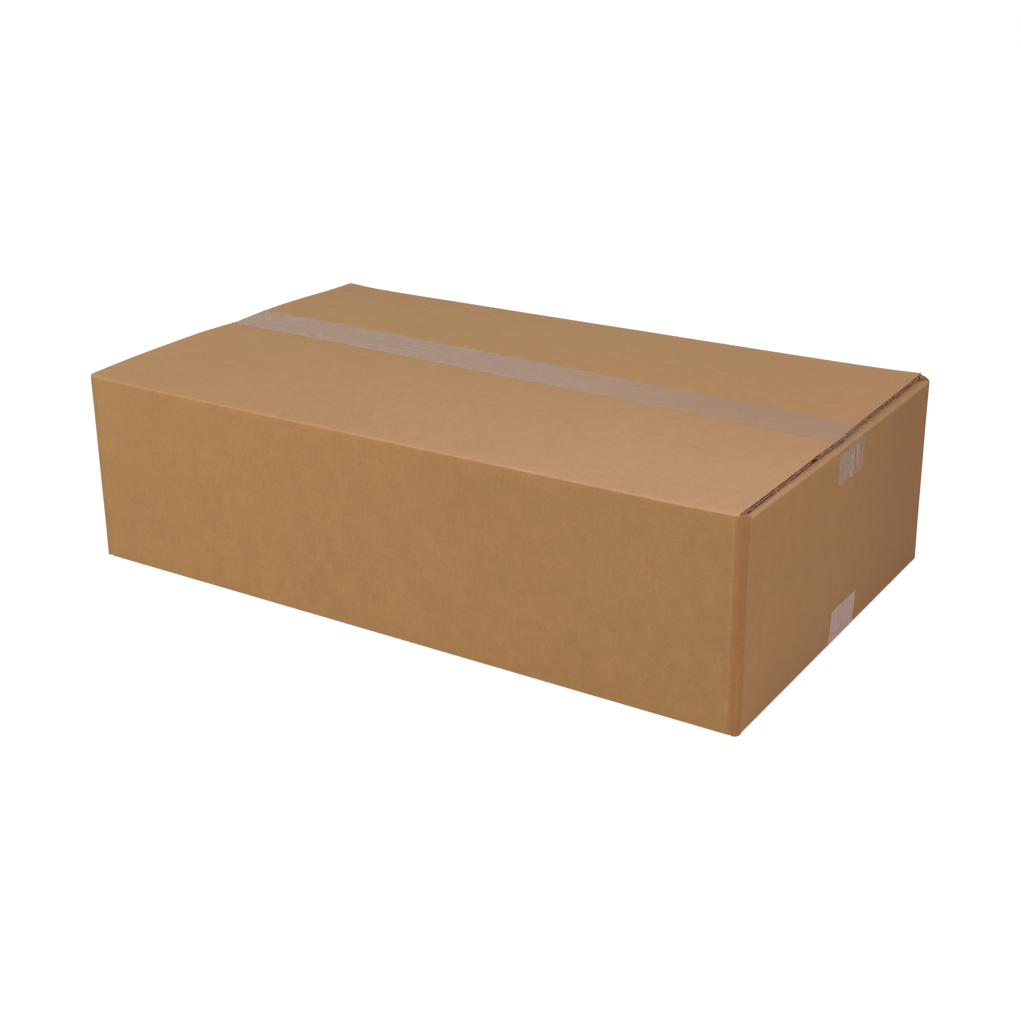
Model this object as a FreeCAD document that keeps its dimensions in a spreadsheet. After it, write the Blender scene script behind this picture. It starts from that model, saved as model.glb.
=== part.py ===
# A closed shipping carton of double-wall corrugated board, taped along its top and bottom seams.
# Length runs along X, width along Y, height along Z. The origin is the middle of the base, on the floor.
# All sizes are in millimetres.
import FreeCAD, Part
import math
import os

import Sketcher
from FreeCAD import Vector

doc = FreeCAD.newDocument("carton")
sheet = doc.addObject("Spreadsheet::Sheet", "dims")

# The driving sizes, each written once, with what it is on the real box.
SIZES = [
    ("box_length", 613, "outside length, over the end walls"),
    ("box_width", 366, "outside width, over the long walls"),
    ("fold_height", 168, "height of the long walls' top folds"),
    ("board", 5.5, "thickness of the double-wall board"),
    ("corner_radius", 8, "outside radius of the four upright creases"),
    ("fold_radius", 5, "outside radius of the flap folds"),
    ("flap_depth", 183, "depth of the inner flaps, half the width"),
    ("flap_side_gap", 2, "room between an inner flap and a long wall"),
    ("layer_gap", 0.3, "room between the inner and the outer flaps"),
    ("seam_gap", 0.6, "slit between the two outer flaps"),
    ("seam_offset", 7, "how far the seam lies behind the middle"),
    ("lid_rise", 3.8, "how far the closed flaps rise above their folds"),
    ("seam_dip", 1.2, "how far the flaps dip again at the seam"),
    ("crest_inset", 45, "from the seam to the highest line of a flap"),
    ("right_setback", 5, "from the right end wall to the outer flaps' cut ends"),
    ("left_setback", 1.5, "from the left end wall to the outer flaps' cut ends"),
    ("slot_margin", 0.7, "how far the corner slots run below the end folds"),
    ("base_setback", 7, "from an end wall to the bottom flaps' cut ends"),
    ("base_lift", 0.5, "room for the tape under the bottom seam"),
    ("valley_flat", 35, "half width of the lifted strip at the bottom seam"),
    ("valley_run", 10, "width of the slope beside that strip"),
    ("liner", 0.6, "thickness of one paper liner at a cut end"),
    ("flute_depth", 2.5, "how deep the open flutes show at a cut end"),
    ("flute_margin", 2, "solid board left at both ends of an open flute"),
    ("lap_width", 38, "width of the glued lap inside the back wall"),
    ("lap_clearance", 1, "from the lap to the flaps above and below it"),
    ("tape_width", 50, "width of the sealing tape"),
    ("tape_thickness", 0.1, "thickness of the sealing tape, with its adhesive"),
    ("tape_gap", 0.02, "room between the tape and the board"),
    ("tape_offset", 10, "how far the tape's middle lies behind the box's middle"),
    ("top_tail", 34, "from the fold height down to the end of the top tape"),
    ("base_tail", 29, "from the floor up to the end of the bottom tape"),
]


class Length:
    """A length that knows its value and the formula that ties it to the sheet."""

    def __init__(self, value, formula):
        self.value = value
        self.formula = formula

    def _with(self, other, sign, value):
        text = other.formula if isinstance(other, Length) else repr(other)
        return Length(value, f"({self.formula} {sign} {text})")

    def __add__(self, other):
        return self._with(other, "+", self.value + number(other))

    def __sub__(self, other):
        return self._with(other, "-", self.value - number(other))

    def __mul__(self, other):
        return self._with(other, "*", self.value * number(other))

    def __truediv__(self, other):
        return self._with(other, "/", self.value / number(other))

    def __rmul__(self, factor):
        return Length(factor * self.value, f"({factor!r} * {self.formula})")

    def __neg__(self):
        return -1 * self


def number(length):
    return length.value if isinstance(length, Length) else length


def fill_sheet():
    """Write every size to the sheet, with an alias, and return them by name."""
    lengths = {}
    for row, (name, value, meaning) in enumerate(SIZES, start=1):
        sheet.set(f"A{row}", name)
        sheet.set(f"B{row}", str(value))
        sheet.set(f"C{row}", meaning)
        sheet.setAlias(f"B{row}", name)
        lengths[name] = Length(value, f"dims.{name}")
    doc.recompute()
    return lengths


size = fill_sheet()
ORIGIN = size["board"] - size["board"]
RIGHT, LEFT = 1, -1
FRONT, BACK = -1, 1

# Places that several pieces share.
end_x = size["box_length"] / 2
side_y = size["box_width"] / 2
crest_z = size["fold_height"] + size["lid_rise"]
inner_top_z = crest_z - size["seam_dip"] - size["board"] - size["layer_gap"]
inner_edge_z = size["fold_height"] - size["board"] - size["layer_gap"]
inner_half_width = side_y - size["board"] - size["flap_side_gap"]
slot_z = inner_edge_z - size["fold_radius"] - size["slot_margin"]
base_inner_z = size["board"] + size["layer_gap"]
upright_run = size["box_length"] - 2 * size["corner_radius"]
upright_span = size["box_width"] - 2 * size["corner_radius"]
# How far a cut reaches past the face it starts from, and how far a block stands above what is cut off it.
CUT_MARGIN = 1
TRIM = 0.5


class Corner:
    """A corner of a drawn outline. It is tied to the sheet in both directions, or in one."""

    def __init__(self, across, up, tied="both"):
        self.across = across
        self.up = up
        self.tied = tied

    def point(self):
        return Vector(number(self.across), number(self.up), 0)


class Centre(Corner):
    """The centre of a round stretch between two corners."""


def tie(sketch, edge, place, corner):
    """Bind one point of a sketch to the sheet's formulas."""
    ties = []
    if corner.tied in ("both", "across"):
        ties.append(("DistanceX", corner.across))
    if corner.tied in ("both", "up"):
        ties.append(("DistanceY", corner.up))
    for kind, length in ties:
        rule = Sketcher.Constraint(kind, -1, 1, edge, place, number(length))
        index = sketch.addConstraint(rule)
        sketch.setExpression(f"Constraints[{index}]", length.formula)


def draw_outline(sketch, corners, arcs=None, smooth=()):
    """Draw a closed outline through the corners.

    Edge n, from corner n to the next one, is round where arcs has a centre for it. It runs
    smoothly into the edge after it where smooth holds n.
    """
    arcs = arcs or {}
    edges = []
    for n, corner in enumerate(corners):
        start = corner.point()
        end = corners[(n + 1) % len(corners)].point()
        if n not in arcs:
            edge = sketch.addGeometry(Part.LineSegment(start, end), False)
            edges.append((edge, 1, 2))
            continue
        centre = arcs[n].point()
        angle_a = math.atan2(start.y - centre.y, start.x - centre.x)
        angle_b = math.atan2(end.y - centre.y, end.x - centre.x)
        circle = Part.Circle(centre, Vector(0, 0, 1), (start - centre).Length)
        turn = (angle_b - angle_a) % (2 * math.pi)
        if turn < math.pi:
            arc = Part.ArcOfCircle(circle, angle_a, angle_a + turn)
            places = (1, 2)
        else:
            arc = Part.ArcOfCircle(circle, angle_b, angle_b + 2 * math.pi - turn)
            places = (2, 1)
        edge = sketch.addGeometry(arc, False)
        edges.append((edge, *places))
    for n, (edge, start_place, end_place) in enumerate(edges):
        following, following_start, _ = edges[(n + 1) % len(edges)]
        joint = "Tangent" if n in smooth else "Coincident"
        sketch.addConstraint(Sketcher.Constraint(joint, edge, end_place, following, following_start))
        tie(sketch, edge, start_place, corners[n])
        if n in arcs:
            tie(sketch, edge, 3, arcs[n])


def new_body(name):
    body = doc.addObject("PartDesign::Body", name)
    body.Label = name
    return body


def new_sketch(body, name, plane, along=None):
    """Make a sketch on one of the body's own planes, moved along the plane's normal."""
    sketch = body.newObject("Sketcher::SketchObject", name)
    face = next(item for item in body.Origin.OriginFeatures if item.Role == plane)
    sketch.AttachmentSupport = [(face, "")]
    sketch.MapMode = "FlatFace"
    if along is not None:
        sketch.AttachmentOffset = FreeCAD.Placement(Vector(0, 0, number(along)), FreeCAD.Rotation())
        sketch.setExpression("AttachmentOffset.Base.z", along.formula)
    return sketch


def pad(body, sketch, name, length, centred=False):
    feature = body.newObject("PartDesign::Pad", name)
    feature.Profile = sketch
    feature.Length = number(length)
    feature.setExpression("Length", length.formula)
    feature.SideType = "Symmetric" if centred else "One side"
    doc.recompute()
    return feature


def pocket(body, sketch, name, length, centred=False, reverse=False):
    """Cut a pocket, and stop if it takes nothing away."""
    before = body.Shape.Volume
    feature = body.newObject("PartDesign::Pocket", name)
    feature.Profile = sketch
    feature.Length = number(length)
    feature.setExpression("Length", length.formula)
    feature.SideType = "Symmetric" if centred else "One side"
    feature.Reversed = reverse
    doc.recompute()
    if body.Shape.Volume > before - 1:
        raise RuntimeError(f"{name} cuts nothing")
    return feature


# The upright walls: one sheet folded round four soft creases.
def rounded_rectangle(sketch, half_length, half_width, radius):
    """Draw a rectangle with rounded corners about the middle of the box."""
    corners = []
    arcs = {}
    for x_side, y_side in ((LEFT, FRONT), (RIGHT, FRONT), (RIGHT, BACK), (LEFT, BACK)):
        middle = Centre(x_side * (half_length - radius), y_side * (half_width - radius), "across")
        on_end = Corner(x_side * half_length, y_side * (half_width - radius))
        on_side = Corner(x_side * (half_length - radius), y_side * half_width)
        arcs[len(corners)] = middle
        anticlockwise = x_side * y_side > 0
        corners += [on_end, on_side] if anticlockwise else [on_side, on_end]
    draw_outline(sketch, corners, arcs)


def add_walls(body):
    sketch = new_sketch(body, "wall_plan", "XY_Plane")
    board = size["board"]
    rounded_rectangle(sketch, end_x, side_y, size["corner_radius"])
    rounded_rectangle(sketch, end_x - board, side_y - board, size["corner_radius"] - board)
    pad(body, sketch, "walls", slot_z)


def bottom_fold_waste(sketch, face, foot):
    """Draw the waste outside and below both rounded folds along the base."""
    radius = size["fold_radius"]
    for side in (LEFT, RIGHT):
        inner = side * (face - size["board"] - radius)
        outer = side * (face + CUT_MARGIN)
        top = foot + radius
        below = ORIGIN - CUT_MARGIN
        corners = [
            Corner(outer, below),
            Corner(outer, top),
            Corner(side * face, top),
            Corner(side * (face - radius), foot),
            Corner(inner, foot),
            Corner(inner, below),
        ]
        draw_outline(sketch, corners, {2: Centre(side * (face - radius), top, "across")})


def round_base_folds(body):
    """Round the folds along the base. The four upright creases keep their full height."""
    sketch = new_sketch(body, "long_fold_waste", "YZ_Plane")
    bottom_fold_waste(sketch, side_y, ORIGIN)
    pocket(body, sketch, "long_base_folds", upright_run, centred=True)
    sketch = new_sketch(body, "end_fold_waste", "XZ_Plane")
    bottom_fold_waste(sketch, end_x, size["base_lift"])
    pocket(body, sketch, "end_base_folds", upright_span, centred=True)


# The bottom flaps: the outer pair lies on the floor, and the inner pair rests on it.
def bottom_flap_corners(side):
    """Section of one outer bottom flap, from its wall to the lifted strip at the seam."""
    board = size["board"]
    lift = size["base_lift"]
    root = side * (side_y - board)
    edge = size["seam_offset"] + side * size["seam_gap"] / 2
    strip = size["seam_offset"] + side * size["valley_flat"]
    slope = strip + side * size["valley_run"]
    return [
        Corner(root, ORIGIN),
        Corner(slope, ORIGIN),
        Corner(strip, lift),
        Corner(edge, lift),
        Corner(edge, board),
        Corner(root, board),
    ]


def add_bottom_flaps(body):
    start = size["base_setback"] - end_x
    run = size["box_length"] - 2 * size["base_setback"]
    sketch = new_sketch(body, "bottom_outer_section", "YZ_Plane", start)
    for side in (FRONT, BACK):
        draw_outline(sketch, bottom_flap_corners(side))
    pad(body, sketch, "bottom_outer_flaps", run)
    sketch = new_sketch(body, "bottom_inner_plan", "XY_Plane", base_inner_z)
    for side in (LEFT, RIGHT):
        wall = side * (end_x - size["board"] / 2)
        edge = side * (end_x - size["flap_depth"])
        corners = [
            Corner(wall, -inner_half_width),
            Corner(wall, inner_half_width),
            Corner(edge, inner_half_width),
            Corner(edge, -inner_half_width),
        ]
        draw_outline(sketch, corners)
    pad(body, sketch, "bottom_inner_flaps", size["board"])


# The top inner flaps: hinged on the end walls, and bowed up under the outer flaps.
inner_rise = inner_top_z - inner_edge_z
inner_bow_radius = (inner_half_width * inner_half_width + inner_rise * inner_rise) / (2 * inner_rise)
inner_bow_z = inner_top_z - inner_bow_radius


def bowed_section(sketch, foot_z=None):
    """Draw the bowed strip of an inner flap, or the end wall's top that rises to it from foot_z."""
    half = inner_half_width
    board = size["board"]
    low_z = inner_edge_z - board if foot_z is None else foot_z
    corners = [
        Corner(half, inner_edge_z),
        Corner(-half, inner_edge_z),
        Corner(-half, low_z),
        Corner(half, low_z),
    ]
    arcs = {0: Centre(ORIGIN, inner_bow_z, "up")}
    if foot_z is None:
        arcs[2] = Centre(ORIGIN, inner_bow_z - board, "up")
    draw_outline(sketch, corners, arcs)


def add_top_inner_flaps(body):
    for name, wall_start, flap_start in (
        ("right", end_x - size["board"], end_x - size["flap_depth"]),
        ("left", -end_x, -end_x),
    ):
        sketch = new_sketch(body, f"{name}_riser_section", "YZ_Plane", wall_start)
        bowed_section(sketch, slot_z)
        pad(body, sketch, f"{name}_riser", size["board"])
        sketch = new_sketch(body, f"{name}_inner_section", "YZ_Plane", flap_start)
        bowed_section(sketch)
        pad(body, sketch, f"{name}_inner_flap", size["flap_depth"])


def round_end_folds(body):
    """Round the folds between the end walls and the inner flaps."""
    base = body.Tip
    names = []
    for n, edge in enumerate(base.Shape.Edges, start=1):
        middle = edge.CenterOfMass
        at_end = abs(abs(middle.x) - end_x.value) < 0.01 and edge.BoundBox.XLength < 0.01
        if at_end and middle.z > inner_edge_z.value and edge.Length > inner_half_width.value:
            names.append(f"Edge{n}")
    if len(names) != 2:
        raise RuntimeError("the two end folds weren't found")
    feature = body.newObject("PartDesign::Fillet", "end_folds")
    feature.Base = (base, names)
    feature.Radius = size["fold_radius"].value
    feature.setExpression("Radius", size["fold_radius"].formula)
    doc.recompute()


# The top outer flaps: hinged on the long walls, they meet at the taped seam.
flap_rise = crest_z - size["fold_height"]


def crest_y(side):
    return size["seam_offset"] + side * size["crest_inset"]


def crown_centre_z(side):
    """Height of the centre of a flap's bowed stretch, from its fold to its crest."""
    span = side * (side_y - size["fold_radius"]) - crest_y(side)
    radius = (span * span + flap_rise * flap_rise) / (2 * flap_rise)
    return crest_z - radius


def dip_z(distance, depth):
    """Height at a distance from the seam, at a depth below the flap's top face."""
    return crest_z - size["seam_dip"] + size["seam_dip"] * distance / size["crest_inset"] - depth


def flap_section(sketch, side):
    """Draw one outer flap with its fold and the top of its wall."""
    board = size["board"]
    radius = size["fold_radius"]
    fold = size["fold_height"]
    edge_y = size["seam_offset"] + side * size["seam_gap"] / 2
    edge_z = dip_z(size["seam_gap"] / 2, ORIGIN)
    wall = side * (side_y - board)
    corners = [
        Corner(side * side_y, slot_z),
        Corner(side * side_y, fold - radius),
        Corner(side * (side_y - radius), fold),
        Corner(crest_y(side), crest_z),
        Corner(edge_y, edge_z),
        Corner(edge_y, edge_z - board),
        Corner(crest_y(side), crest_z - board),
        Corner(wall, fold - board, "across"),
        Corner(wall, slot_z),
    ]
    arcs = {
        1: Centre(side * (side_y - radius), fold - radius, "across"),
        2: Centre(crest_y(side), crown_centre_z(side), "across"),
        6: Centre(crest_y(side), crown_centre_z(side), "both"),
    }
    draw_outline(sketch, corners, arcs)


def flute_section(sketch, side, upper, lower):
    """Draw one open flute at a flap's cut end, between two depths below its top face."""
    margin = size["flute_margin"]
    start = side * (side_y - size["fold_radius"] - margin)
    end = size["seam_offset"] + side * margin
    corners = [
        Corner(start, size["fold_height"] - upper, "across"),
        Corner(crest_y(side), crest_z - upper),
        Corner(end, dip_z(margin, upper)),
        Corner(end, dip_z(margin, lower)),
        Corner(crest_y(side), crest_z - lower),
        Corner(start, size["fold_height"] - lower, "across"),
    ]
    arcs = {
        0: Centre(crest_y(side), crown_centre_z(side), "both"),
        4: Centre(crest_y(side), crown_centre_z(side), "both"),
    }
    draw_outline(sketch, corners, arcs)


def add_top_outer_flaps(body):
    start = size["left_setback"] - end_x
    run = size["box_length"] - size["left_setback"] - size["right_setback"]
    for name, side in (("front", FRONT), ("back", BACK)):
        sketch = new_sketch(body, f"{name}_flap_section", "YZ_Plane", start)
        flap_section(sketch, side)
        pad(body, sketch, f"{name}_flap", run)


def open_flutes(body):
    """Open the two rows of flutes along the outer flaps' cut ends."""
    liner = size["liner"]
    middle = (size["board"] - liner) / 2
    rows = ((liner, middle), (middle + liner, size["board"] - liner))
    ends = (("right", end_x - size["right_setback"], False), ("left", size["left_setback"] - end_x, True))
    for end_name, place, reverse in ends:
        sketch = new_sketch(body, f"{end_name}_flute_section", "YZ_Plane", place)
        for side in (FRONT, BACK):
            for upper, lower in rows:
                flute_section(sketch, side, upper, lower)
        pocket(body, sketch, f"{end_name}_flutes", size["flute_depth"], reverse=reverse)


def add_glued_lap(body):
    """Add the lap that closes the sheet, glued inside the back wall at the left end."""
    low = base_inner_z + size["board"] + size["lap_clearance"]
    high = inner_edge_z - size["board"] - size["lap_clearance"]
    sketch = new_sketch(body, "lap_plan", "XY_Plane", low)
    board = size["board"]
    near = board / 2 - end_x
    far = near + size["lap_width"]
    outer = side_y - board / 2
    inner = side_y - 2 * board
    corners = [Corner(near, inner), Corner(far, inner), Corner(far, outer), Corner(near, outer)]
    draw_outline(sketch, corners)
    pad(body, sketch, "glued_lap", high - low)


def make_carton():
    body = new_body("carton")
    add_walls(body)
    round_base_folds(body)
    add_bottom_flaps(body)
    add_glued_lap(body)
    add_top_inner_flaps(body)
    round_end_folds(body)
    add_top_outer_flaps(body)
    open_flutes(body)
    return body


# The tapes: thin film that follows the box from the seam down over both end walls.
def tape_wrap(name, lift, width, foot_z):
    """Make the block that lies under the top tape, or under its outer face, with lift on every side."""
    body = new_body(name)
    radius = size["fold_radius"] + lift
    centre_z = inner_top_z - size["fold_radius"]
    high = crest_z + lift + TRIM
    sketch = new_sketch(body, f"{name}_profile", "XZ_Plane", -size["tape_offset"])
    corners = []
    arcs = {}
    for side, setback in ((LEFT, size["left_setback"]), (RIGHT, size["right_setback"])):
        face = side * (end_x + lift)
        edge = side * (end_x - setback + lift)
        reach = edge - side * (end_x - size["fold_radius"])
        climb = high - centre_z
        away = math.hypot(reach.value, climb.value)
        turn = math.atan2(climb.value, side * reach.value) - math.acos(radius.value / away)
        touch_x = side * (end_x - size["fold_radius"]) + side * radius.value * math.cos(turn)
        touch_z = centre_z + radius.value * math.sin(turn)
        run = [
            Corner(face, foot_z),
            Corner(face, centre_z),
            Corner(touch_x, touch_z, "none"),
            Corner(edge, high),
        ]
        if side == LEFT:
            arcs[1] = Centre(side * (end_x - size["fold_radius"]), centre_z)
            corners += run
        else:
            arcs[5] = Centre(side * (end_x - size["fold_radius"]), centre_z)
            corners += run[::-1]
    draw_outline(sketch, corners, arcs, smooth=(1, 4))
    pad(body, sketch, f"{name}_block", width, centred=True)
    sketch = new_sketch(body, f"{name}_seam_line", "YZ_Plane")
    above = high + CUT_MARGIN
    corners = [
        Corner(crest_y(FRONT), crest_z + lift),
        Corner(size["seam_offset"], crest_z - size["seam_dip"] + lift),
        Corner(crest_y(BACK), crest_z + lift),
        Corner(crest_y(BACK), above),
        Corner(crest_y(FRONT), above),
    ]
    draw_outline(sketch, corners)
    pocket(body, sketch, f"{name}_top", 2 * size["box_length"], centred=True)
    return body


def make_top_tape():
    inside = size["tape_gap"]
    outside = inside + size["tape_thickness"]
    foot_z = size["fold_height"] - size["top_tail"]
    tape = doc.addObject("Part::Cut", "top_tape")
    tape.Label = "top_tape"
    tape.Base = tape_wrap("tape_outside", outside, size["tape_width"], foot_z)
    tape.Tool = tape_wrap("tape_inside", inside, size["tape_width"] + 2 * CUT_MARGIN, foot_z - CUT_MARGIN)
    doc.recompute()
    return tape


def make_bottom_tape():
    body = new_body("bottom_tape")
    radius = size["fold_radius"]
    inside = size["tape_gap"]
    outside = inside + size["tape_thickness"]
    lift = size["base_lift"]
    top = size["base_tail"]
    bend_z = lift + radius
    corners = []
    arcs = {}
    for offset, sides in ((outside, (LEFT, RIGHT)), (inside, (RIGHT, LEFT))):
        for side in sides:
            face = side * (end_x + offset)
            bend = side * (end_x - radius)
            run = [Corner(face, top), Corner(face, bend_z), Corner(bend, lift - offset)]
            goes_down = side == sides[0]
            arcs[len(corners) + (1 if goes_down else 0)] = Centre(bend, bend_z, "across")
            corners += run if goes_down else run[::-1]
    sketch = new_sketch(body, "bottom_tape_profile", "XZ_Plane", -size["tape_offset"])
    draw_outline(sketch, corners, arcs)
    pad(body, sketch, "bottom_tape_strip", size["tape_width"], centred=True)
    return body


def check_document():
    """Stop if any object of the document failed."""
    for item in doc.Objects:
        if "Invalid" in item.State or "Error" in item.State:
            raise RuntimeError(f"{item.Name} failed: {item.State}")


def export(pieces):
    """Write each piece to its own file, once all of them are sound."""
    for piece in pieces:
        if piece.Shape.isNull() or not piece.Shape.isValid():
            raise RuntimeError(f"{piece.Label} isn't a sound shape")
    os.makedirs("parts", exist_ok=True)
    for piece in pieces:
        piece.Shape.exportStep(f"parts/{piece.Label}.step")
        box = piece.Shape.BoundBox
        print(
            f"{piece.Label}: {len(piece.Shape.Solids)} solid, {piece.Shape.Volume / 1000:.1f} cm3, "
            f"x {box.XMin:.2f} to {box.XMax:.2f}, y {box.YMin:.2f} to {box.YMax:.2f}, "
            f"z {box.ZMin:.2f} to {box.ZMax:.2f}"
        )


carton = make_carton()
top_tape = make_top_tape()
bottom_tape = make_bottom_tape()
doc.recompute()
check_document()
export([carton, top_tape, bottom_tape])
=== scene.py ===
# %% [markdown]
# # A closed shipping carton
#
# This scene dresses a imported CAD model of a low, wide carton made of double-wall corrugated board. The
# real box is one flat sheet, creased, folded into a tube, and closed at the top and the bottom with one
# strip of clear tape each. The CAD model gives its size and its place, so the first step loads it.

# %% Load the CAD frame
import math

import bpy
import numpy as np
from mathutils import Matrix, Vector, noise
from mathutils.bvhtree import BVHTree


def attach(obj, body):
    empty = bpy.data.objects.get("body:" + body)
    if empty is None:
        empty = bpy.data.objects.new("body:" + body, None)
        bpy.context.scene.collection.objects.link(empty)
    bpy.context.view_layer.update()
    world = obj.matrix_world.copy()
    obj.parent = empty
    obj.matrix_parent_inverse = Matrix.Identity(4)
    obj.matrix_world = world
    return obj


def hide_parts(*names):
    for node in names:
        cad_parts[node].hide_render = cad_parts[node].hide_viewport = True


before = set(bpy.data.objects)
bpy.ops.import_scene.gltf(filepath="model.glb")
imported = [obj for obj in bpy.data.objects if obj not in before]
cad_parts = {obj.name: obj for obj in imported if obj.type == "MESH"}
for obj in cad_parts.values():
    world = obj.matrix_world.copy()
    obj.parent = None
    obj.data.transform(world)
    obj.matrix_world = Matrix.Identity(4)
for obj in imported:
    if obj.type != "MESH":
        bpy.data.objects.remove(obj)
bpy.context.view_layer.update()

# %% [markdown]
# ## The sizes of the real box
#
# Board makers think in millimetres, so every length below is in millimetres and is turned into metres
# only when a mesh is made. The outside sizes are the CAD model's own. The smaller ones come from
# looking closely at how such a box is folded.

# %% Sizes in millimetres
MM = 0.001
HALF_LENGTH = 306.5
HALF_WIDTH = 183.0
BOARD = 5.5
CREASE_RADIUS = 6.0
FOLD_RADIUS = 1.8
FLAP_DEPTH = 183.0
SEAM_Y = 7.0
SEAM_GAP = 0.6
FLAT_X = HALF_LENGTH - CREASE_RADIUS
FLAT_Y = HALF_WIDTH - CREASE_RADIUS
print("flat walls:", 2 * FLAT_X, "by", 2 * FLAT_Y, "mm")

# %% [markdown]
# ## The shape of the closed lid
#
# The lid of a real carton is never flat. At the left end the inner flap pushes the outer flaps up, at
# the right end they lie low, and the four corners stand a little proud because the upright creases
# hold them up. A small table of heights says this best: one row for each place along the box, one
# column for each place across it. A smooth curve through the table then gives the height anywhere.

# %% Heights of the lid's top face
LID_X = [-306.0, -270.0, -186.0, -83.0, 12.0, 155.0, 264.0, 304.0]
LID_Y = [-183.0, -140.0, -90.0, -38.0, 7.0, 52.0, 100.0, 150.0, 183.0]
LID_Z = [
    [168.2, 170.0, 171.1, 171.2, 169.6, 171.1, 170.4, 168.8, 168.5],
    [166.9, 169.2, 170.6, 171.1, 169.6, 171.0, 170.1, 167.9, 166.7],
    [166.5, 168.2, 169.8, 171.0, 170.1, 171.0, 169.7, 167.8, 166.3],
    [166.4, 167.8, 169.2, 170.3, 169.5, 170.3, 169.1, 167.5, 166.2],
    [166.4, 167.5, 168.6, 169.5, 168.8, 169.5, 168.5, 167.3, 166.2],
    [166.5, 167.4, 168.3, 169.0, 168.4, 169.0, 168.1, 167.2, 166.2],
    [166.7, 167.3, 167.9, 168.2, 167.5, 168.1, 167.6, 167.1, 166.7],
    [167.8, 167.6, 167.4, 167.3, 166.4, 167.1, 167.2, 167.4, 168.0],
]
WAVINESS = 0.16


def curve_through(places, values, at):
    """The value at a place, on a smooth curve through the given places and values."""
    at = min(max(at, places[0]), places[-1])
    n = min(int(np.searchsorted(places, at, side="right")) - 1, len(places) - 2)
    run = places[n + 1] - places[n]
    share = (at - places[n]) / run

    def slope(k):
        low, high = max(k - 1, 0), min(k + 1, len(places) - 1)
        return (values[high] - values[low]) / (places[high] - places[low])

    start, end = slope(n) * run, slope(n + 1) * run
    cube, square = share**3, share**2
    return (
        (2 * cube - 3 * square + 1) * values[n]
        + (cube - 2 * square + share) * start
        + (3 * square - 2 * cube) * values[n + 1]
        + (cube - square) * end
    )


def lid_height(x, y):
    """Height of the lid's top face. The seam is a sharp valley, so each side has its own curve."""
    seam = LID_Y.index(SEAM_Y)
    part = slice(0, seam + 1) if y <= SEAM_Y else slice(seam, len(LID_Y))
    across = [curve_through(LID_X, [row[k] for row in LID_Z], x) for k in range(len(LID_Y))[part]]
    waviness = WAVINESS * noise.noise(Vector((x / 70, y / 45, 4.2)))
    return curve_through(LID_Y[part], across, y) + waviness


print("lid height at the seam:", [round(lid_height(x, SEAM_Y), 1) for x in (-300, 0, 300)])

# %% [markdown]
# ## Where the walls stand
#
# Seen from above, the tube is a rectangle whose corners are soft. Each upright crease is a rounded
# bead between two shallow grooves, pressed in when the sheet was scored. At the right end the beads are
# crushed nearly flat, and at the left end they are sharp. The sheet is described by columns that go
# once round the box. A column knows its wall, its place along it and its outward direction. Columns
# stand close together near the creases, where the shape turns quickly.

# %% Columns round the box
FRONT, RIGHT, BACK, LEFT, CORNER = range(5)
NEAR_END = [0.0, 1.1, 2.2, 3.2, 4.4, 5.8, 7.4, 9.2, 11.4, 14.0, 17.5, 22.0, 28.0, 36.0]
MIDDLE_GAP = 19.0
ARC_STEPS = 8
CREASE_SHAPE = {FRONT: 1.5, RIGHT: 1.7, BACK: 4.5, LEFT: 4.5}
GROOVE_PLACE = 7.2
GROOVE_WIDTH = 1.8
GROOVE_DEPTH = 0.25


def places_along(half):
    """Places along a flat wall, close together near both of its ends."""
    near = [half - gap for gap in NEAR_END]
    count = round(2 * near[-1] / MIDDLE_GAP)
    middle = list(np.linspace(-near[-1], near[-1], count + 1))
    return [-place for place in near[:-1]] + middle + near[:-1][::-1]


def groove(distance):
    """How far the outer face is pressed in, at a distance round the sheet from an upright crease."""
    return GROOVE_DEPTH * math.exp(-(((abs(distance) - GROOVE_PLACE) / GROOVE_WIDTH) ** 2))


def crease_radius(power, angle):
    """Distance of a crease's outer face from its centre. A power of 2 gives a round corner, more a
    sharper one, less a flatter one."""
    return CREASE_RADIUS / (math.cos(angle) ** power + math.sin(angle) ** power) ** (1 / power)


def column(wall, along, spot, out, to_crease):
    """One column. to_crease is its distance round the sheet from the middle of the nearest crease."""
    x, y = spot - out * groove(to_crease)
    return {"wall": wall, "along": along, "x": x, "y": y, "nx": out.x, "ny": out.y, "to_crease": to_crease}


def columns_round():
    """Every column, from the front wall's left end, anticlockwise as seen from above."""
    found = []
    half_arc = CREASE_RADIUS * math.pi / 4
    walls = ((FRONT, FLAT_X, FLAT_Y), (RIGHT, FLAT_Y, FLAT_X), (BACK, FLAT_X, FLAT_Y), (LEFT, FLAT_Y, FLAT_X))
    for wall, half, away in walls:
        turn = wall * math.pi / 2
        run = Vector((math.cos(turn), math.sin(turn)))
        out = Vector((math.sin(turn), -math.cos(turn)))
        for along in places_along(half):
            spot = run * along + out * (away + CREASE_RADIUS)
            to_crease = math.copysign(half - abs(along) + half_arc, -along)
            found.append(column(wall, along, spot, out, to_crease))
        centre = run * half + out * away
        for step in range(1, ARC_STEPS):
            angle = step * math.pi / 2 / ARC_STEPS
            normal = out * math.cos(angle) + run * math.sin(angle)
            radius = crease_radius(CREASE_SHAPE[wall], angle)
            spot = centre + normal * radius
            found.append(column(CORNER, step, spot, normal, CREASE_RADIUS * angle - half_arc))
            found[-1]["before"] = wall
            found[-1]["reach"] = away + radius * math.cos(angle)
            found[-1]["next_reach"] = half + radius * math.sin(angle)
    return found


COLUMNS = columns_round()
print(len(COLUMNS), "columns round the box")

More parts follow.
